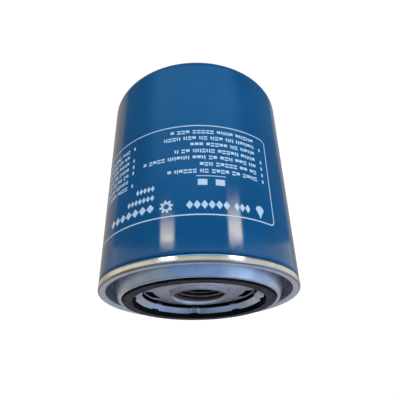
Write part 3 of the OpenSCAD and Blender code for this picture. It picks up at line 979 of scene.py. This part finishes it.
# each lamp's angle from the front and half its width, in degrees, the sines of the heights
# where it fades in and out, and its colour: a broad one in front, two narrow ones for the
# streaks on the can, two for the seam, and one high up to the side for the lid
LAMPS = [
    (0, 56, (-0.90, -0.75), (-0.62, -0.45), (0.35, 0.9, 1.7)),
    (34, 7.5, (-0.475, -0.405), (-0.396, -0.388), (17, 15, 11)),
    (-43, 7.5, (-0.52, -0.41), (-0.396, -0.388), (17, 15, 12)),
    (31, 6.0, (-0.378, -0.365), (-0.12, 0.0), (1.15, 1.15, 1.05)),
    (-43, 6.0, (-0.378, -0.365), (-0.12, 0.0), (1.35, 1.4, 1.4)),
    (-58, 14.0, (0.05, 0.30), (0.75, 0.90), (0.7, 0.95, 1.4)),
]


def studio():
    """A soft grey-blue room with lamps, which the paint and the metal reflect by direction,
    below the horizon too."""
    world = bpy.data.worlds.new("studio")
    bpy.context.scene.world = world
    world.use_nodes = True
    nodes, links = world.node_tree.nodes, world.node_tree.links
    background = nodes["Background"]
    coords = nodes.new("ShaderNodeTexCoord")
    split = nodes.new("ShaderNodeSeparateXYZ")
    links.new(coords.outputs["Generated"], split.inputs[0])
    x, y, z = split.outputs

    def feed(value, socket):
        if isinstance(value, bpy.types.NodeSocket):
            links.new(value, socket)
        else:
            socket.default_value = value

    def calc(operation, a, b=0.0):
        node = nodes.new("ShaderNodeMath")
        node.operation = operation
        for value, socket in zip((a, b), node.inputs):
            feed(value, socket)
        return node.outputs[0]

    def step(value, start_end, low_high=(0.0, 1.0)):
        return smooth_range(nodes, links, value, start_end, low_high)

    def mix(share, a, b):
        node = nodes.new("ShaderNodeMix")
        node.data_type = "RGBA"
        links.new(share, node.inputs[0])
        for value, socket in ((a, node.inputs[6]), (b, node.inputs[7])):
            feed((*value, 1) if isinstance(value, tuple) else value, socket)
        return node.outputs[2]

    # side is -1 to 1 along X and depth -1 in front to 1 behind; z is the height's sine
    flat = calc("SQRT", calc("ADD", calc("MULTIPLY", x, x), calc("MULTIPLY", y, y)))
    side, depth = calc("DIVIDE", x, flat), calc("DIVIDE", y, flat)
    high = step(z, (0.3, 0.5))
    cool, grey = mix(high, COOL_SIDE, COOL_HIGH), mix(high, GREY_SIDE, GREY_HIGH)
    walls = mix(step(side, (-0.5, 0.5)), cool, grey)
    walls = mix(step(depth, (0.4, 0.8)), walls, ROOM_BACK)
    walls = mix(step(depth, (-0.95, -0.5)), ROOM_FRONT, walls)
    upper = mix(step(z, (0.6, 0.85)), walls, CEILING)
    upper = mix(step(z, (0.95, 0.99)), upper, ZENITH)
    low_front = mix(step(z, (-0.385, -0.375)), FLOOR_FRONT, LOW_FRONT)
    low_back = mix(step(side, (-0.3, 0.3)), LOW_COOL, LOW_WARM)
    behind = step(calc("ADD", depth, calc("MULTIPLY", side, 0.2)), (0.50, 0.66))
    room = mix(step(z, (-0.12, 0.05)), mix(behind, low_front, low_back), upper)
    for angle, half, fade_in, fade_out, colour in LAMPS:
        a = math.radians(angle)
        across, along = calc("MULTIPLY", side, math.sin(a)), calc("MULTIPLY", depth, -math.cos(a))
        edges = [math.cos(math.radians(half * share)) for share in (1.3, 0.7)]
        wide = step(calc("ADD", across, along), edges)
        upright = calc("MULTIPLY", step(z, fade_in), step(z, fade_out, (1.0, 0.0)))
        room = mix(calc("MULTIPLY", wide, upright), room, colour)
    links.new(room, background.inputs["Color"])


def camera():
    """Looks at the gasket end from above the near side, upside down as the object is shown."""
    elevation, roll = math.radians(29.65), math.radians(178.48)
    distance = 171.8 * MM
    target = Vector((-1.24, 0, -46.44)) * MM
    back = Vector((0, -math.cos(elevation), math.sin(elevation)))
    data = bpy.data.cameras.new("camera")
    data.sensor_width = 36
    data.lens = 34.2945
    cam = bpy.data.objects.new("camera", data)
    look = Matrix.Rotation(math.pi / 2 - elevation, 4, "X") @ Matrix.Rotation(roll, 4, "Z")
    cam.matrix_world = Matrix.Translation(target + back * distance) @ look
    bpy.context.scene.collection.objects.link(cam)
    bpy.context.scene.camera = cam


# --- The filter ---------------------------------------------------------------------------

camera()
studio()
floor()
area_light("overhead", (0.05, -0.1, 0.55), 0.5, 1.4)
area_light("fill", (-0.22, -0.62, 0.3), 0.4, 2.6)
bpy.context.scene.view_settings.view_transform = "Standard"

tinned = sheet_steel("tinned_steel", (0.50, 0.51, 0.53), (0.62, 0.63, 0.65), 0.26)
tube_steel = sheet_steel("bright_steel", (0.58, 0.59, 0.60), (0.70, 0.71, 0.72), 0.2)
soft_rubber = rubber("valve_rubber", (0.012, 0.010, 0.009), (0.022, 0.018, 0.016), 0.42)
compound = cured_compound("potting_compound", (0.030, 0.030, 0.033), (0.055, 0.055, 0.060))
can_piece(blue_enamel(), tinned)
lid_piece(zinc_lid())
gasket_piece(rubber("gasket_rubber", (0.003, 0.0028, 0.0045), (0.006, 0.0055, 0.008), 0.36, face=0))
plate_piece(plate_steel())
printing(print_ink())
sleeve_piece(soft_rubber)
skirt_piece(soft_rubber)
cap_pieces(tinned)
media_piece(filter_paper())
spring_piece(spring_steel())
kept_nodes({
    "seam_sealant": cured_compound("seam_compound", (0.05, 0.06, 0.035), (0.09, 0.10, 0.07)),
    "centre_tube": tube_steel, "media_seam_clip": tube_steel, "bypass_spring_seat": tube_steel,
    "top_potting": compound, "bottom_potting": compound,
    "bypass_cage": tinned, "bypass_poppet": tinned, "bypass_seal": soft_rubber,
    "load_spring": spring_steel(),
})
